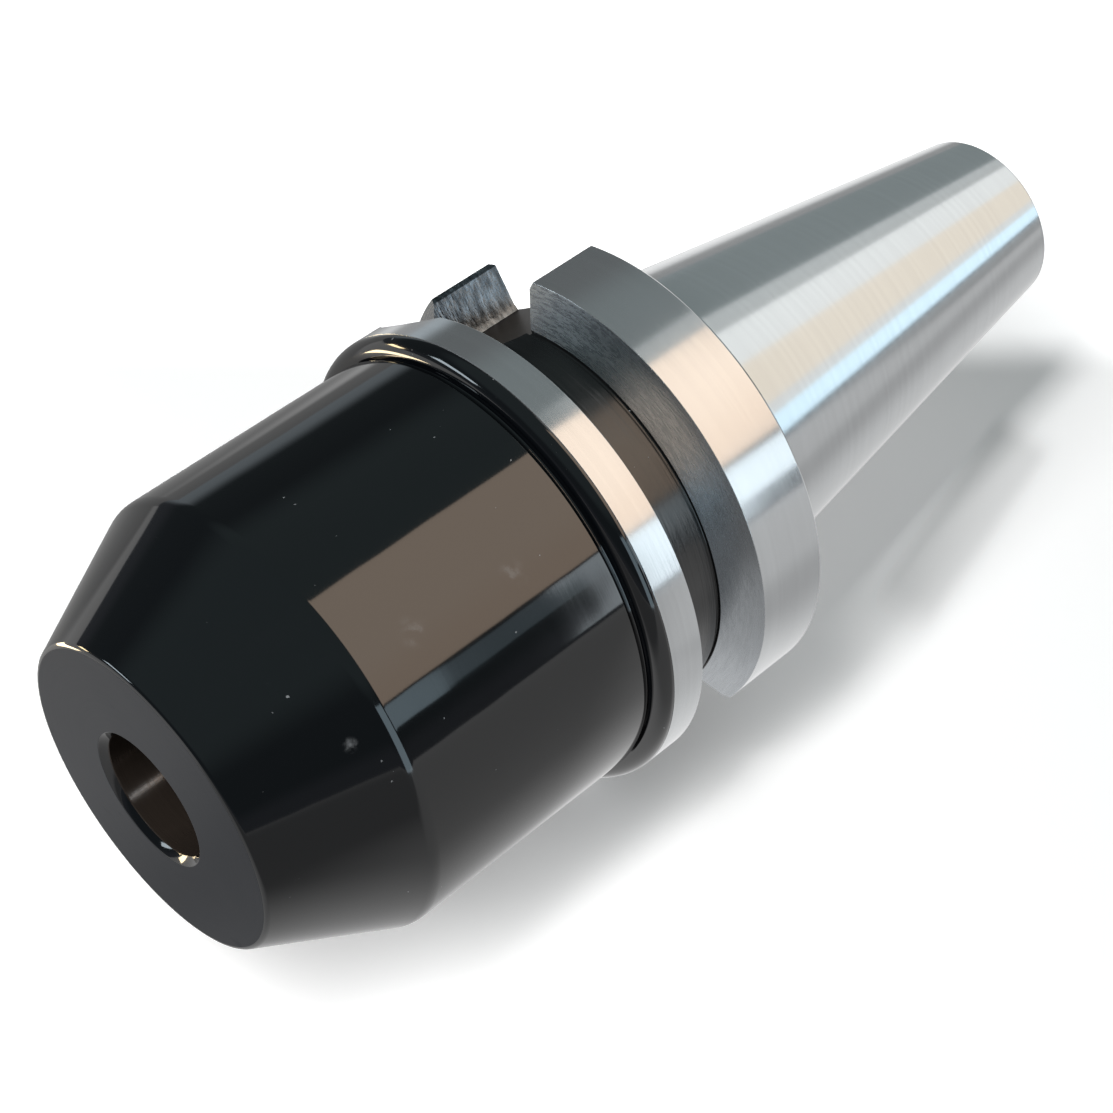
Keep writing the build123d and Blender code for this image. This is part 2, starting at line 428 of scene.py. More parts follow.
def slot_wedge(roll):
    """A wedge with sides at 45 degrees, which breaks the long edges of a slot."""
    wall_top = math.sqrt(FLANGE**2 - (SLOT_WIDTH / 2) ** 2)
    start = wall_top - EDGE_BREAK
    piece = start_piece(
        "slot_wedge",
        bpy.ops.mesh.primitive_cube_add,
        size=MM,
        location=((SLOT_END_X + CUTTER_REACH / 2) * MM, 0, (start + WEDGE_HEIGHT / 2) * MM),
    )
    piece.scale = (CUTTER_REACH, SLOT_WIDTH, WEDGE_HEIGHT)
    settle(piece)
    pick_faces(piece, lambda face: face.normal.z > 0.9)
    widen = (SLOT_WIDTH + 2 * WEDGE_HEIGHT) / SLOT_WIDTH
    top = (0, 0, (start + WEDGE_HEIGHT) * MM)
    bpy.ops.transform.resize(value=(1, widen, 1), center_override=top)
    bpy.ops.object.mode_set(mode="OBJECT")
    clean(piece)
    return stand_out(piece, roll)


for roll in (SLOT_ROLL, SLOT_ROLL + 180):
    combine(flange, slot_cutter(roll))
    combine(flange, slot_wedge(roll))
print("flange with slots:", len(flange.data.polygons), "faces")

# %% [markdown]
# ## Black body
# The body and its cone are turned and blackened. A bead runs round where the body meets the
# flange's land, with a small relief in front of it, and the mouth of the bore has a small chamfer
# that leads the cutter's shank in. The cone's edges are polished, so they are small curves in the
# outline, softer than the bevels elsewhere.

# %% Turn the body
BORE_EDGE = 0.65
NOSE_EDGE = 0.4
CONE_EDGE = 0.6
RELIEF_WIDTH = 0.6
RELIEF_DEPTH = 0.3
BEAD = 1.5


def rounded(before, corner, after, reach, steps=6):
    """Points of a small curve that takes the place of a corner in an outline."""
    ends = []
    for other in (before, after):
        length = math.dist(corner, other)
        ends.append([c + (o - c) * reach / length for c, o in zip(corner, other)])
    curve = []
    for step in range(steps + 1):
        t = step / steps
        shares = ((1 - t) ** 2, 2 * t * (1 - t), t**2)
        pairs = zip(ends[0], corner, ends[1])
        curve.append([sum(share * v for share, v in zip(shares, values)) for values in pairs])
    return curve


bead_curve = [
    (
        LAND_FRONT_X - BEAD * math.cos(math.radians(turn)),
        BODY + BEAD * math.sin(math.radians(turn)),
    )
    for turn in range(0, 91, 15)
]
body = turned(
    "black_body",
    [
        (NOSE_X, BORE + BORE_EDGE),
        *rounded((NOSE_X, BORE), (NOSE_X, NOSE), (CONE_END_X, BODY), NOSE_EDGE),
        *rounded((NOSE_X, NOSE), (CONE_END_X, BODY), (SHOULDER_X, BODY), CONE_EDGE),
        (SHOULDER_X - RELIEF_WIDTH, BODY),
        (SHOULDER_X - RELIEF_WIDTH, BODY - RELIEF_DEPTH),
        (SHOULDER_X, BODY - RELIEF_DEPTH),
        *bead_curve,
        (LAND_FRONT_X, BORE),
        (NOSE_X + BORE_EDGE, BORE),
        (NOSE_X, BORE + BORE_EDGE),
    ],
)
round_edges(body, 0.08)
print("body faces:", len(body.data.polygons))

# %% [markdown]
# The clamping screw's hole goes in from the side, down to the bore. Its cutter is a cylinder, and a
# cone over it sinks the mouth of the hole, so that no sharp edge is left on the round body.

# %% Bore the clamping screw's hole
CLAMP_HOLE = 6.05
HOLE_REACH = 30.0
SINK_DEPTH = 0.4
SINK_HEIGHT = 10.0
hole = start_piece(
    "clamp_hole_cutter",
    bpy.ops.mesh.primitive_cylinder_add,
    vertices=128,
    radius=CLAMP_HOLE * MM,
    depth=HOLE_REACH * MM,
    location=(0, 0, HOLE_REACH / 2 * MM),
)
settle(hole)
combine(body, stand_out(hole, CLAMP_ROLL, CLAMP_X))
sink = start_piece(
    "clamp_countersink",
    bpy.ops.mesh.primitive_cone_add,
    vertices=128,
    radius1=CLAMP_HOLE * MM,
    radius2=(CLAMP_HOLE + SINK_HEIGHT) * MM,
    depth=SINK_HEIGHT * MM,
    location=(0, 0, (BODY - SINK_DEPTH + SINK_HEIGHT / 2) * MM),
)
settle(sink)
combine(body, stand_out(sink, CLAMP_ROLL, CLAMP_X))
print("body with its screw hole:", len(body.data.polygons), "faces")

# %% [markdown]
# ## Clamping screw and stop screw
# Each screw is a turned core, a coil of thread trimmed to the outline of the screw, and a six-sided
# socket. The screws stay inside the size of the CAD screws, so that they never touch their holes.

# %% Helpers for a screw


def hex_cutter(width, depth, x):
    """A six-sided bar that cuts a socket of this depth into the end of a screw at x."""
    piece = start_piece(
        "socket_cutter",
        bpy.ops.mesh.primitive_cylinder_add,
        vertices=6,
        radius=width / math.sqrt(3) * MM,
        depth=depth * 2 * MM,
        location=(x * MM, 0, 0),
        rotation=(0, math.pi / 2, 0),
    )
    settle(piece)
    return piece


def screw(name, core, envelope, thread, socket):
    """Join a turned core and a coil that is trimmed to an envelope, and cut the socket."""
    piece = turned(name, core, steps=96)
    ridge = coil("ridge", **thread)
    combine(ridge, turned("envelope", envelope, steps=96), "INTERSECT")
    combine(piece, ridge, "UNION")
    combine(piece, socket)
    return piece


print("screw helpers ready")

# %% [markdown]
# The clamping screw has a flat tip that presses on the cutter's flat, a smooth collar with a groove
# for its seal ring, and an M12 thread from there up to its socket. It is made lying along the tool
# axis, tip first, and stood up on its own axis afterwards.

# %% Model the clamping screw
CLAMP_TIP = BORE + 0.2
CLAMP_HEAD = CLAMP_TIP + 16.0
CLAMP_SEAL = CLAMP_HEAD - 11.0
CLAMP_CORE = 4.95
CLAMP_COLLAR = 5.9
CLAMP_CREST = 5.97
CLAMP_RING_SEAT = 4.65
RING_SEAT_HALF = 0.8
clamp = screw(
    "clamping_screw",
    [
        (CLAMP_TIP, 0),
        (CLAMP_TIP, CLAMP_CORE - 0.15),
        (CLAMP_TIP + 0.05, CLAMP_CORE),
        (CLAMP_SEAL - 1.6, CLAMP_CORE),
        (CLAMP_SEAL - 1.5, CLAMP_COLLAR),
        (CLAMP_SEAL - RING_SEAT_HALF, CLAMP_COLLAR),
        (CLAMP_SEAL - RING_SEAT_HALF, CLAMP_RING_SEAT),
        (CLAMP_SEAL + RING_SEAT_HALF, CLAMP_RING_SEAT),
        (CLAMP_SEAL + RING_SEAT_HALF, CLAMP_COLLAR),
        (CLAMP_SEAL + 1.5, CLAMP_COLLAR),
        (CLAMP_SEAL + 1.6, CLAMP_CORE),
        (CLAMP_HEAD, CLAMP_CORE),
        (CLAMP_HEAD, 0),
    ],
    [
        (CLAMP_SEAL + 1.0, 0),
        (CLAMP_SEAL + 1.0, CLAMP_CORE - 0.05),
        (CLAMP_SEAL + 1.9, CLAMP_CREST),
        (CLAMP_HEAD - 1.0, CLAMP_CREST),
        (CLAMP_HEAD - 0.02, CLAMP_CORE),
        (CLAMP_HEAD - 0.02, 0),
    ],
    {
        "root": CLAMP_CORE - 0.15,
        "crest": CLAMP_CREST + 0.02,
        "pitch": M12_PITCH,
        "start_x": CLAMP_SEAL - 1,
        "end_x": CLAMP_HEAD + 1,
    },
    hex_cutter(6.0, 6.5, CLAMP_HEAD),
)
clamp.data.transform(Matrix.Rotation(-math.pi / 2, 4, "Y"))
stand_out(clamp, CLAMP_ROLL, CLAMP_X)
print("clamping screw faces:", len(clamp.data.polygons))

# %% [markdown]
# The stop screw stays on the tool axis, deep in the bore, and sets how far the cutter's shank goes
# in. Its head carries a seal ring, its M10 stem screws into the shank, and a coolant hole runs
# through it, which a long cylinder cuts at the end.

# %% Model the stop screw
STOP_REAR = -9.5
STOP_FRONT = STOP_REAR - 4.0
STOP_TIP = STOP_REAR + 14.0
STOP_SEAL = (STOP_FRONT + STOP_REAR) / 2
STOP_HEAD = 5.7
STOP_EDGE = 0.4
STOP_CORE = 4.1
STOP_CREST = 4.97
STOP_RING_SEAT = 4.6
M10_PITCH = 1.5
stop = screw(
    "stop_screw_finished",
    [
        (STOP_FRONT, 0),
        (STOP_FRONT, STOP_HEAD - STOP_EDGE),
        (STOP_FRONT + STOP_EDGE, STOP_HEAD),
        (STOP_SEAL - RING_SEAT_HALF, STOP_HEAD),
        (STOP_SEAL - RING_SEAT_HALF, STOP_RING_SEAT),
        (STOP_SEAL + RING_SEAT_HALF, STOP_RING_SEAT),
        (STOP_SEAL + RING_SEAT_HALF, STOP_HEAD),
        (STOP_REAR, STOP_HEAD),
        (STOP_REAR, STOP_CORE),
        (STOP_TIP, STOP_CORE),
        (STOP_TIP, 0),
    ],
    [
        (STOP_REAR + 1.0, 0),
        (STOP_REAR + 1.0, STOP_CORE),
        (STOP_REAR + 1.8, STOP_CREST),
        (STOP_TIP - 0.9, STOP_CREST),
        (STOP_TIP - 0.05, STOP_CORE),
        (STOP_TIP - 0.05, 0),
    ],
    {
        "root": STOP_CORE - 0.1,
        "crest": STOP_CREST + 0.02,
        "pitch": M10_PITCH,
        "start_x": STOP_REAR - 1,
        "end_x": STOP_TIP + 1,
    },
    hex_cutter(5.0, 4.5, STOP_FRONT),
)
coolant = start_piece(
    "coolant_hole_cutter",
    bpy.ops.mesh.primitive_cylinder_add,
    vertices=48,
    radius=1.7 * MM,
    depth=40 * MM,
    location=(0, 0, 0),
    rotation=(0, math.pi / 2, 0),
)
settle(coolant)
combine(stop, coolant)
print("stop screw faces:", len(stop.data.polygons))

# %% [markdown]
# ## Seal rings
# A round rubber ring sits in the groove of each screw and keeps coolant in. Such a ring is moulded
# as a torus, so a torus shaded smooth is its shape. Only a thin edge of it ever shows.

# %% Model the seal rings
RING_SECTION = 1.28


def seal_ring(name, radius, x):
    """A ring about the tool axis, with its middle at x."""
    piece = start_piece(
        name,
        bpy.ops.mesh.primitive_torus_add,
        major_segments=96,
        minor_segments=20,
        major_radius=radius * MM,
        minor_radius=RING_SECTION / 2 * MM,
        location=(x * MM, 0, 0),
        rotation=(0, math.pi / 2, 0),
    )
    settle(piece)
    return piece


clamp_ring = seal_ring("clamping_screw_seal", 5.35, CLAMP_SEAL)
clamp_ring.data.transform(Matrix.Rotation(-math.pi / 2, 4, "Y"))
stand_out(clamp_ring, CLAMP_ROLL, CLAMP_X)
stop_ring = seal_ring("stop_screw_seal", 5.3, STOP_SEAL)
for piece in (shank, flange, body, clamp, stop, clamp_ring, stop_ring):
    smooth(piece)
print("seal rings:", len(clamp_ring.data.polygons), "faces each, and all pieces are shaded")

# %% [markdown]
# ## Finishes
# Shader maths is easier to read as plain maths, so a small class wraps a socket. Adding or
# multiplying two of them adds the Math node that does it, and any other node comes from one method.

# %% Shader maths


class Flow:
    """A value that runs through a material's nodes."""

    def __init__(self, tree, socket=None):
        self.tree = tree
        self.socket = socket

    def node(self, kind, settings, sockets, output=0):
        """Add a node: first its settings, then the values or links of its sockets."""
        made = self.tree.nodes.new(kind)
        for key, value in settings.items():
            setattr(made, key, value)
        for key, value in sockets.items():
            if isinstance(value, Flow):
                self.tree.links.new(value.socket, made.inputs[key])
            else:
                made.inputs[key].default_value = value
        return Flow(self.tree, made.outputs[output])

    def maths(self, operation, *values):
        """Maths on numbers."""
        return self.node("ShaderNodeMath", {"operation": operation}, dict(enumerate(values)))

    def vector(self, operation, *values, output="Vector"):
        """Maths on places."""
        settings = {"operation": operation}
        return self.node("ShaderNodeVectorMath", settings, dict(enumerate(values)), output)

    def __add__(self, other):
        return self.maths("ADD", self, other)

    __radd__ = __add__

    def __mul__(self, other):
        return self.maths("MULTIPLY", self, other)

    __rmul__ = __mul__

    def __sub__(self, other):
        return self.maths("SUBTRACT", self, other)

    def __rsub__(self, other):
        return self.maths("SUBTRACT", other, self)

    def part(self, axis):
        """One number of a place, by the name of its axis."""
        return self.node("ShaderNodeSeparateXYZ", {}, {"Vector": self}, output=axis)

    def between(self, low, high):
        """Rise smoothly from 0 at low to 1 at high; it falls where low is the larger one."""
        settings = {"interpolation_type": "SMOOTHSTEP"}
        sockets = {"Value": self, "From Min": low, "From Max": high}
        return self.node("ShaderNodeMapRange", settings, sockets)

    def mix(self, first, second):
        """Blend two colours by this value."""
        settings = {"data_type": "RGBA"}
        return self.node("ShaderNodeMix", settings, {0: self, 6: first, 7: second}, output=2)


print("shader maths ready")

# %% [markdown]
# The patterns of a finish follow the tool that made it: round the axis on a lathe or a grinding
# machine, straight on a milled wall. The object's own coordinates are stretched so that plain noise
# turns into such lines. Image textures would need an unwrapped piece, and noise needs nothing.

# %% Patterns on the object's own coordinates


class Pattern(Flow):
    """The nodes of one finish, with the patterns that its surface can have."""

    def place(self):
        """A point's own coordinates on the piece, in metres."""
        return self.node("ShaderNodeTexCoord", {}, {}, output="Object")

    def noise(self, place, scale, detail=2.0, roughness=0.5):
        """Noise at a place, between 0 and 1."""
        sockets = {"Vector": place, "Scale": scale, "Detail": detail, "Roughness": roughness}
        return self.node("ShaderNodeTexNoise", {}, sockets)

    def stretched(self, scale, turn=(0, 0, 0)):
        """The place, turned and then stretched by a scale for each axis."""
        sockets = {"Vector": self.place(), "Rotation": turn}
        return self.vector("MULTIPLY", self.node("ShaderNodeMapping", {}, sockets), scale)

    def axis_distance(self):
        """How far a point is from the tool axis, in metres."""
        flat = self.vector("MULTIPLY", self.place(), (0, 1, 1))
        return self.vector("LENGTH", flat, output="Value")

    def rings(self, fine, around):
        """Coordinates that change fast along the axis and away from it, and slowly round it."""
        out = self.node("ShaderNodeCombineXYZ", {}, {"X": self.axis_distance() * fine})
        return self.vector("ADD", out, self.stretched((fine, around, around)))

    def spot(self, x, y, z, reach):
        """1 at a place in millimetres on the piece, falling softly to 0 at its reach."""
        centre = (x * MM, y * MM, z * MM)
        away = self.vector("DISTANCE", self.place(), centre, output="Value")
        return away.between(reach * MM, reach * 0.2 * MM)

    def bump(self, height, distance):
        """A surface normal shaped by a height between 0 and 1, with its depth in metres."""
        sockets = {"Strength": 1.0, "Distance": distance, "Height": height}
        return self.node("ShaderNodeBump", {}, sockets)


def finish(name, constants):
    """A new material with its constant values set on the shader, and its nodes to build on."""
    material = bpy.data.materials.new(name)
    material.use_nodes = True
    shader = material.node_tree.nodes["Principled BSDF"]
    for key, value in constants.items():
        shader.inputs[key].default_value = value
    return material, Pattern(material.node_tree), shader


def wire(material, shader, **varying):
    """Lead varying values into the shader; underscores in a socket's name stand for spaces."""
    for key, value in varying.items():
        material.node_tree.links.new(value.socket, shader.inputs[key.replace("_", " ")])


print("surface patterns ready")

# %% [markdown]
# ## Ground steel
# A grinding wheel leaves hair-fine lines round the taper and the rims. Noise that is squeezed along
# the axis and drawn out round it gives those lines, and a small bump makes light streak along the
# axis. The slot's walls are milled, so their marks stand upright and are much coarser. The bore has
# fine boring rings, and its colour is made very dark as painted shade, since the key lamp lights
# deep into it.

# %% Mix the steel finishes


def steel(name, colour, low, high, marks_at, depth, dark=0.93, metal=1.0):
    """Bare steel, with a roughness from low to high; marks_at says where its marks run."""
    material, flow, shader = finish(name, {"Metallic": metal, "IOR": 1.5})
    place = marks_at(flow)
    marks = flow.noise(place, 1.0, 3.0, 0.6)
    shade = flow.noise(place, 0.35, 2.0)
    deep = tuple(c * dark for c in colour)
    base = shade.between(0.3, 0.7).mix((*deep, 1), (*colour, 1))
    rough = marks.between(0.3, 0.7) * (high - low) + low
    wire(material, shader, Base_Color=base, Roughness=rough, Normal=flow.bump(marks, depth))
    return material


def round_marks(flow):
    """Grinding lines that run round the axis."""
    return flow.rings(6000, 60)


def flank_marks(flow):
    """Short turning lines on the flanks of the groove."""
    return flow.rings(5000, 900)


def bore_marks(flow):
    """Boring rings, finer and longer."""
    return flow.rings(9000, 25)


def mill_marks(flow):
    """Upright marks of the milling cutter on the walls of a slot."""
    return flow.stretched((4200, 4200, 1100), (math.radians(SLOT_ROLL), 0, 0))


ground = steel(
    "ground_steel", (0.59, 0.605, 0.615), 0.125, 0.155, round_marks, 4e-7, dark=0.965, metal=0.85
)
flank = steel("flank_steel", (0.42, 0.44, 0.46), 0.2, 0.34, flank_marks, 4e-6)
milled = steel("milled_steel", (0.2, 0.225, 0.25), 0.12, 0.26, mill_marks, 5e-5, dark=0.35)
# Painted shade: the bore's colour is made nearly black, so that the inside of each bore stays dark.
bored = steel("bored_steel_painted_shade", (0.034, 0.026, 0.021), 0.13, 0.19, bore_marks, 2e-5, metal=0.4)
print("steel finishes:", ground.name, flank.name, milled.name, bored.name)

# %% [markdown]
# ## Glossy and satin black
# The body was polished and then blackened, so it mirrors the room like dark glass. Faint smudges
# and a few specks of dust break the mirror, and the nose face, cut with a flat tool, stays satin.
# Blackened steel is an oxide layer, which is why it is mixed as a dark shiny coat and not as metal.

# %% Mix the black finishes
DUST = (0.25, 0.26, 0.27, 1)
# Pale scuffs on the body: their place and reach in millimetres, and their strength.
SCUFFS = [
    (-41.5, -13.2, 17.0, 1.6, 0.22),
    (-31.2, -13.9, 16.4, 1.6, 0.2),
    (-50.5, -15.6, 12.6, 0.8, 0.5),
]


def black(name, colour, roughness, smudge, line_depth, ior, specks=0.0, scuffs=()):
    """Blackened steel with turning lines, faint smudges, specks of dust and a few scuffs."""
    material, flow, shader = finish(name, {"Metallic": 0.0, "IOR": ior})
    lines = flow.noise(flow.rings(5000, 60), 1.0, 3.0, 0.6)
    wave = flow.noise(flow.stretched((140, 140, 140)), 1.0, 1.0)
    patches = flow.noise(flow.stretched((260, 260, 260)), 1.0, 4.0, 0.6).between(0.64, 0.76)
    dust = flow.noise(flow.stretched((1500, 1500, 1500)), 1.0, 1.0).between(0.79, 0.83) * specks
    for x, y, z, reach, strength in scuffs:
        patch = flow.noise(flow.stretched((900, 900, 900)), 1.0, 3.0).between(0.4, 0.65)
        dust = dust + flow.spot(x, y, z, reach) * patch * strength
    base = dust.mix((*colour, 1), DUST)
    rough = patches * smudge + dust * 0.4 + roughness + lines * 0.03
    height = lines * line_depth + wave * 1.0
    wire(material, shader, Base_Color=base, Roughness=rough, Normal=flow.bump(height, 3e-5))
    return material


gloss = black(
    "glossy_black", (0.0014, 0.0018, 0.0025), 0.05, 0.05, 0.02, ior=1.77, specks=0.7, scuffs=SCUFFS
)
groove_black = black(
    "groove_black", (0.0045, 0.0048, 0.005), 0.16, 0.1, 0.8, ior=1.7, specks=1.0
)
satin = black("satin_black", (0.0055, 0.0072, 0.011), 0.34, 0.06, 0.1, ior=1.3)
slot_brown = black("slot_floor_black", (0.0075, 0.0052, 0.004), 0.42, 0.1, 0.2, ior=1.25)
screw_black = black("screw_black", (0.012, 0.012, 0.013), 0.3, 0.1, 0.1, ior=1.6)
rubber = black("seal_rubber", (0.012, 0.012, 0.012), 0.5, 0.05, 0.05, ior=1.45)
print("black finishes:", gloss.name, groove_black.name, satin.name, slot_brown.name)

# %% [markdown]
# ## Which face has which finish
# One piece can hold several finishes, each on its own faces. The faces are picked by their distance
# from the axis, their place along it and the way they look. Separate pieces for each finish would
# leave open seams between them.

# %% Paint the faces
SLOT_OUT = Vector((0, math.sin(math.radians(SLOT_ROLL)), math.cos(math.radians(SLOT_ROLL))))


def dress(piece, finishes, choose):
    """Give a piece its finishes, and let choose(x, radius, normal, centre) pick one per face."""
    piece.data.materials.clear()
    counts = {}
    for material in finishes:
        piece.data.materials.append(material)
        counts[material.name] = 0
    for face in piece.data.polygons:
        centre = face.center
        radius = math.hypot(centre.y, centre.z) / MM
        chosen = choose(centre.x / MM, radius, face.normal, centre)
        face.material_index = finishes.index(chosen)
        counts[chosen.name] += 1
    print(piece.name, counts)


def ring_face(in_groove, normal):
    """Whether a face was turned: one of the flanks of the groove, or square to the axis."""
    return abs(normal.x) > 0.84 and (in_groove or abs(normal.x) > 0.99)


def flange_finish(x, radius, normal, centre):
    """Ground rims and rear face, black groove, milled slots with a dark floor, and bored steel inside,
    darkened as painted shade.
    """
    half = SLOT_WIDTH / 2
    height = abs(centre.dot(SLOT_OUT)) / MM
    side = abs(centre.cross(SLOT_OUT).x) / MM
    lean = abs(normal.dot(SLOT_OUT))
    steep = abs(normal.dot(Vector((0, centre.y, centre.z)).normalized())) < 0.9
    in_groove = GROOVE_FRONT_X < x < GROOVE_REAR_X
    in_slot = side < half + 0.1 and x > SLOT_END_X - half - 0.1
    if radius < BORE + 0.5:
        return bored
    if in_slot and height < SLOT_FLOOR + 0.05:
        return slot_brown
    inside = half - side
    foot = in_slot and height < SLOT_FLOOR + SLOT_FOOT and inside > 0.05
    if foot and not ring_face(in_groove, normal):
        return milled
    upright = lean < 0.1 and steep and in_slot and radius < FLANGE - 0.2
    if upright and (not in_groove or abs(inside) < 0.05 or x < SLOT_END_X):
        return milled
    broken_edge = abs(side - half - 0.3) < 0.4 and 0.6 < lean < 0.8 and steep
    if broken_edge and abs(normal.x) < 0.1:
        return milled
    if radius < GROOVE_FLOOR + 0.1 and in_groove:
        return groove_black
    if GROOVE_FRONT_X + 0.1 < x < GROOVE_REAR_X - 0.1 and radius < FLANGE - 0.1:
        return flank
    return ground


def body_finish(x, radius, normal, centre):
    """Glossy outside, satin nose face, and bored steel inside, darkened as painted shade."""
    if radius < BORE + 0.05 and x > NOSE_X + 0.5:
        return bored
    if normal.x < -0.97 and x < NOSE_X + 0.1:
        return satin
    return gloss


def shank_finish(x, radius, normal, centre):
    """Ground outside, and bored steel in the hole for the pull stud, darkened as painted shade."""
    in_the_hole = radius < PILOT + PILOT_EDGE + 0.05 and x < SMALL_END_X - 0.01
    return bored if in_the_hole else ground


dress(shank, [ground, bored], shank_finish)
dress(flange, [ground, groove_black, flank, milled, slot_brown, bored], flange_finish)
dress(body, [gloss, satin, bored], body_finish)
for piece in (clamp, stop):
    dress(piece, [screw_black], lambda *place: screw_black)
for piece in (clamp_ring, stop_ring):
    dress(piece, [rubber], lambda *place: rubber)

# %% [markdown]
# ## Hand the pieces to the frame
# Each finished piece stands for its CAD part and moves with that part's body. The screws turn as
# they travel, and their rings travel with them.

# %% Join the pieces to their bodies
for piece, body_name, node, slot_name in (
    (shank, "holder", "taper_shank", "ground_steel"),
    (flange, "holder", "drive_flange", "machined_steel"),
    (body, "holder", "tool_body", "black_oxide"),
    (clamp, "clamp_screw", "clamp_screw", "black_screw"),
    (clamp_ring, "clamp_seal", "clamp_seal", "seal_rubber"),
    (stop, "stop_screw", "stop_screw", "black_screw"),
    (stop_ring, "stop_seal", "stop_seal", "seal_rubber"),
):
    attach(piece, body_name)
    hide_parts(node)
print("pieces joined to their bodies")

# %% [markdown]
# ## Floor
# The holder lies on a pale sheet. A white floor under a lamp bright enough to bleach it would also
# bleach the steel, so the paper keeps a plain colour and glows a little, for the camera alone. The
# holder's shadow stays, but the glow paints light and shade into it: painted light fades it out to
# white past the small end of the taper and lightens it by the nose, and a painted shadow darkens a
# soft band beside the taper. Places on the floor are in metres.

# %% Lay the floor
resting_on = (0, 0, -FLANGE * MM)
floor = start_piece("floor", bpy.ops.mesh.primitive_plane_add, size=30, location=resting_on)
settle(floor)
floor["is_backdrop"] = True
paper, flow, shader = finish("floor_paper", {"Roughness": 0.9, "Emission Strength": 1.0})
floor.data.materials.append(paper)
PAPER = (0.82, 0.81, 0.805, 1)
NOTHING = (0, 0, 0, 1)
place = flow.place()
along = place.part("X")
across = place.part("Y")
side = flow.maths("ABSOLUTE", across)
away = flow.vector("LENGTH", place, output="Value")
far = away.between(0.4, 2.0)
# Painted light: the glow rises past the small end of the taper and fades the shadow to white.
painted_light_past_end = (along + across).between(0.05, 0.062) * 0.5
# Painted light: a little more glow towards the nose lightens the shadow under the body.
painted_light_by_body = along.between(-0.015, -0.03) * 0.1
# Painted shadow: beside the taper the glow is taken down in a soft slanted band.
edge = across - along * 0.25
painted_shadow_band = edge.between(-0.018, -0.0205) * edge.between(-0.0275, -0.0245)
painted_soft_shadow = painted_shadow_band * along.between(0.014, 0.022) * along.between(0.05, 0.045) * 0.17
glow = far * 0.62 + 0.235 + painted_light_past_end + painted_light_by_body - painted_soft_shadow
print("floor at", -FLANGE, "mm")

# %% [markdown]
# Polished steel and glossy black are made by what they mirror, and the photograph's bench was no
# even white. So reflections meet a map of a dark bench on the floor: soft zones along the holder,
# with a near side and a far side that are blended under it. Cards laid on the floor would do the
# same, but they would show in the picture and throw shadows.

# %% Map the bench that the holder mirrors
# Painted light: to every ray but the camera's the floor is black and glows with this map, which the holder
# mirrors and takes a little light from.
# The near side: a light zone behind a slanted line, a light strip close to the holder, and dark
# zones beyond the bench, behind the flange and in front of the nose.
bright_side = (along + 0.038 - side * 0.6).between(-0.004, 0.01) * 0.24
close = side.between(0.045, 0.02) * 0.26
bench_edge = (along - side * 1.05).between(0.02, 0.08) * side.between(0.1, 0.14) * 0.3
by_the_flange = along.between(0.0, 0.012) * side.between(0.075, 0.05) * 0.15
by_the_nose = along.between(-0.052, -0.075) * 0.23
near_side = 0.42 + bright_side + close + far * 0.1 - bench_edge - by_the_flange - by_the_nose
# The far side: a light zone beside the taper and one at the nose.
by_the_taper = along.between(0.01, 0.06) * away.between(0.26, 0.1) * 0.7
behind_nose = along.between(-0.052, -0.065) * across.between(0.0, 0.025) * 0.3
far_side = 0.34 + by_the_taper + behind_nose
beyond = across.between(-0.01, 0.01)
mirrored = near_side * (1 - beyond) + far_side * beyond
seen = flow.node("ShaderNodeLightPath", {}, {}, output="Is Camera Ray")
wire(
    paper,
    shader,
    Base_Color=seen.mix(NOTHING, PAPER),
    Emission_Color=seen.mix(mirrored, glow),
)
print("floor paper has", len(paper.node_tree.nodes), "nodes")

# %% [markdown]
# ## Light
# One soft lamp above and in front of the nose lights the holder and throws its shadow, and it
# doesn't show in the steel. What shows there are panels that light nothing: strips along the tool
# axis, each between two angles, as windows and walls stand beside a bench.

# %% Helpers for lamps
PANEL_DISTANCE = 1.5


def lamp(name, colour, radiance, size_x, size_y, shows, lights):
    """A soft rectangular lamp, as bright as its radiance says, not yet in its place."""
    data = bpy.data.lights.new(name, "AREA")
    data.shape = "RECTANGLE"
    data.size = size_x
    data.size_y = size_y
    data.color = colour
    data.energy = radiance * math.pi * size_x * size_y
    light = bpy.data.objects.new(name, data)
    bpy.context.scene.collection.objects.link(light)
    light.visible_camera = False
    light.visible_glossy = shows
    light.visible_diffuse = lights
    return light


def aim(light, direction, distance):
    """Put a lamp in this direction from the holder, looking at it."""
    away = Vector(direction).normalized()
    light.location = away * distance
    light.rotation_euler = away.to_track_quat("Z", "Y").to_euler()


def strip(name, colour, radiance, low, high, start_x, end_x, distance=PANEL_DISTANCE):
    """A panel along the tool axis, between two angles from straight up to the near side."""
    middle = math.radians((low + high) / 2)
    width = 2 * distance * math.tan(math.radians(abs(high - low) / 2))
    light = lamp(name, colour, radiance, end_x - start_x, width, True, False)
    centre_x = (start_x + end_x) / 2
    light.location = (centre_x, -distance * math.sin(middle), distance * math.cos(middle))
    light.rotation_euler = (middle, 0, 0)


print("panels stand", PANEL_DISTANCE, "m from the axis")

# %% [markdown]
# The further along the axis a panel lies, the further back on the holder it shows: the cone mirrors
# the nearest ones, the body and the rims the next, and the taper the far ones. The warm panel is
# the brown patch in the black body, the cool strips under it the blue edge, and two tiny strips
# inside the bore the streak of light on its wall.

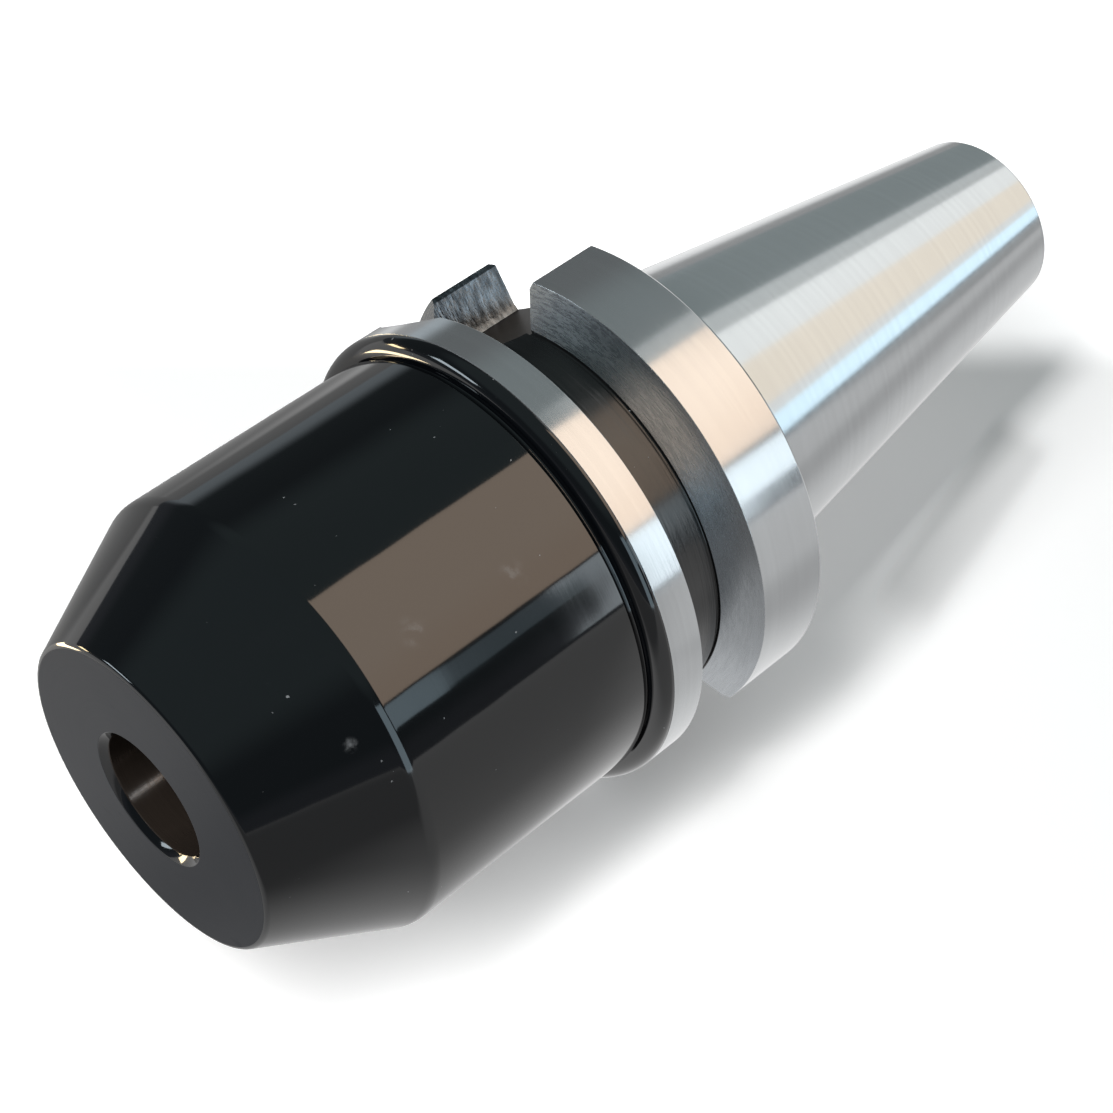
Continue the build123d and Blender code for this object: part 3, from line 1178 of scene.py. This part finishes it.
# %% Hang the lamps
WHITE = (1.0, 1.0, 1.0)
PALE = (1.0, 1.0, 0.98)
WARM = (1.0, 0.77, 0.595)
BEIGE = (1.0, 0.88, 0.73)
COOL = (0.68, 0.88, 1.0)
PALE_BLUE = (0.84, 0.94, 1.0)
WINDOW = (0.8, 0.92, 1.0)
AMBER = (1.0, 0.78, 0.45)
GOLD = (1.0, 0.8, 0.5)
INSIDE_BORE = 0.0053
aim(lamp("key_lamp", WHITE, 23.5, 0.17, 1.11, False, True), (-1.0, -0.13, 1.0), 1.0)
# Each strip's name, colour, radiance, two angles in degrees, and start and end in metres.
for panel in (
    ("pale_edge", PALE, 0.45, -6, 4, 0.86, 1.2),
    ("warm_panel", WARM, 1.68, 4, 60, 0.45, 1.2),
    ("bore_mouth_strip", PALE_BLUE, 13, 61, 69, -0.0562, -0.0536, INSIDE_BORE),
    ("bore_strip", WARM, 9, 62, 68, -0.0536, -0.0505, INSIDE_BORE),
    ("cool_edge_strip", COOL, 1.5, 58, 92, -0.35, 0.25),
    ("cool_front_strip", COOL, 1.3, 61, 72, 0.35, 0.66),
    ("cool_strip", COOL, 0.4, 62, 71, 0.66, 0.8),
    ("cool_rim_strip", PALE_BLUE, 2.1, 61, 88, 0.8, 0.95),
    ("cool_far_rim_strip", PALE_BLUE, 1.8, 63, 80, 0.95, 1.35),
    ("pale_far_edge", PALE, 0.55, -28, -10, 1.2, 3.6),
    ("pale_far_panel", PALE, 1.3, -10, 22, 1.2, 3.6),
    ("beige_far_panel", BEIGE, 1.34, 22, 60, 1.2, 3.6),
    ("pale_low_panel", PALE, 1.15, 60, 70, 1.35, 3.6),
    ("cool_far_strip", COOL, 1.9, 70, 87, 1.35, 3.6),
):
    strip(*panel)
aim(lamp("far_window", WINDOW, 5, 0.55, 0.22, True, False), (-0.66, 0.67, 0.34), 1.5)
aim(lamp("low_warm_lamp", AMBER, 14, 0.3, 0.1, True, False), (-0.38, 0.92, 0.05), 1.4)
aim(lamp("glint_lamp", GOLD, 13, 0.045, 0.02, True, False), (-0.72, 0.69, -0.165), 0.115)

# %% [markdown]
# ## Room
# Between the panels the polished parts mirror the room itself. The world stands for it: dark walls
# under a slightly lighter ceiling, a pale far corner low down, and a lighter wall past the small
# end. A plain grey world would be simpler, but steel looks flat in it. The camera sees white.

# %% Paint the room
DARK_WALL = (0.055, 0.066, 0.07, 1)
CEILING = (0.13, 0.165, 0.17, 1)
SKIRTING = (0.1, 0.108, 0.12, 1)
PALE_CORNER = (0.44, 0.5, 0.54, 1)
END_WALL = (0.24, 0.285, 0.29, 1)
BACKGROUND = (1, 1, 1, 1)
world = bpy.data.worlds.new("room")
bpy.context.scene.world = world
world.use_nodes = True
room = Flow(world.node_tree)
sky = world.node_tree.nodes["Background"]
direction = room.node("ShaderNodeTexCoord", {}, {}, output="Generated")
right, depth, height = (direction.part(axis) for axis in "XYZ")
far_corner = depth.between(-0.2, 0.2) * right.between(0.1, 0.35)
skirting = far_corner.mix(SKIRTING, PALE_CORNER)
upper_wall = height.between(0.5, 0.74).mix(DARK_WALL, CEILING)
front_wall = height.between(0.23, 0.08).mix(upper_wall, skirting)
end_wall = right.between(0.56, 0.7) * depth.between(0.0, 0.3)
walls = end_wall.mix(front_wall, END_WALL)
seen = room.node("ShaderNodeLightPath", {}, {}, output="Is Camera Ray")
world.node_tree.links.new(seen.mix(walls, BACKGROUND).socket, sky.inputs["Color"])
print("room:", len(world.node_tree.nodes), "nodes")

# %% [markdown]
# ## Camera
# The camera looks down on the nose from the near side. Its place, its direction and its lens were
# worked out from the edges of the holder in the photograph.

# %% Place the camera
LOOK = Vector((0.48210, 0.49127, -0.72542))
camera_data = bpy.data.cameras.new("camera")
camera_data.sensor_width = 36
camera_data.lens = 81.87
camera_data.clip_start = 0.01
camera = bpy.data.objects.new("camera", camera_data)
bpy.context.scene.collection.objects.link(camera)
camera.location = (-0.126603, -0.116092, 0.165775)
camera.rotation_euler = LOOK.to_track_quat("-Z", "Y").to_euler()
bpy.context.scene.camera = camera
bpy.context.scene.view_settings.view_transform = "Standard"
print("camera at", tuple(round(v / MM, 1) for v in camera.location), "mm")

# %% [markdown]
# ## Size of the finished holder
# The bounds of the finished holder are set beside those of the CAD parts, and its size is printed.

# %% Finish
bpy.context.view_layer.update()
sizes = {"cad": [list(corner) for corner in cad_bounds], "scene": [list(corner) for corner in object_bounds()]}
size = [round((high - low) / MM, 2) for low, high in zip(*sizes["scene"])]
print("size of the holder:", size, "mm")
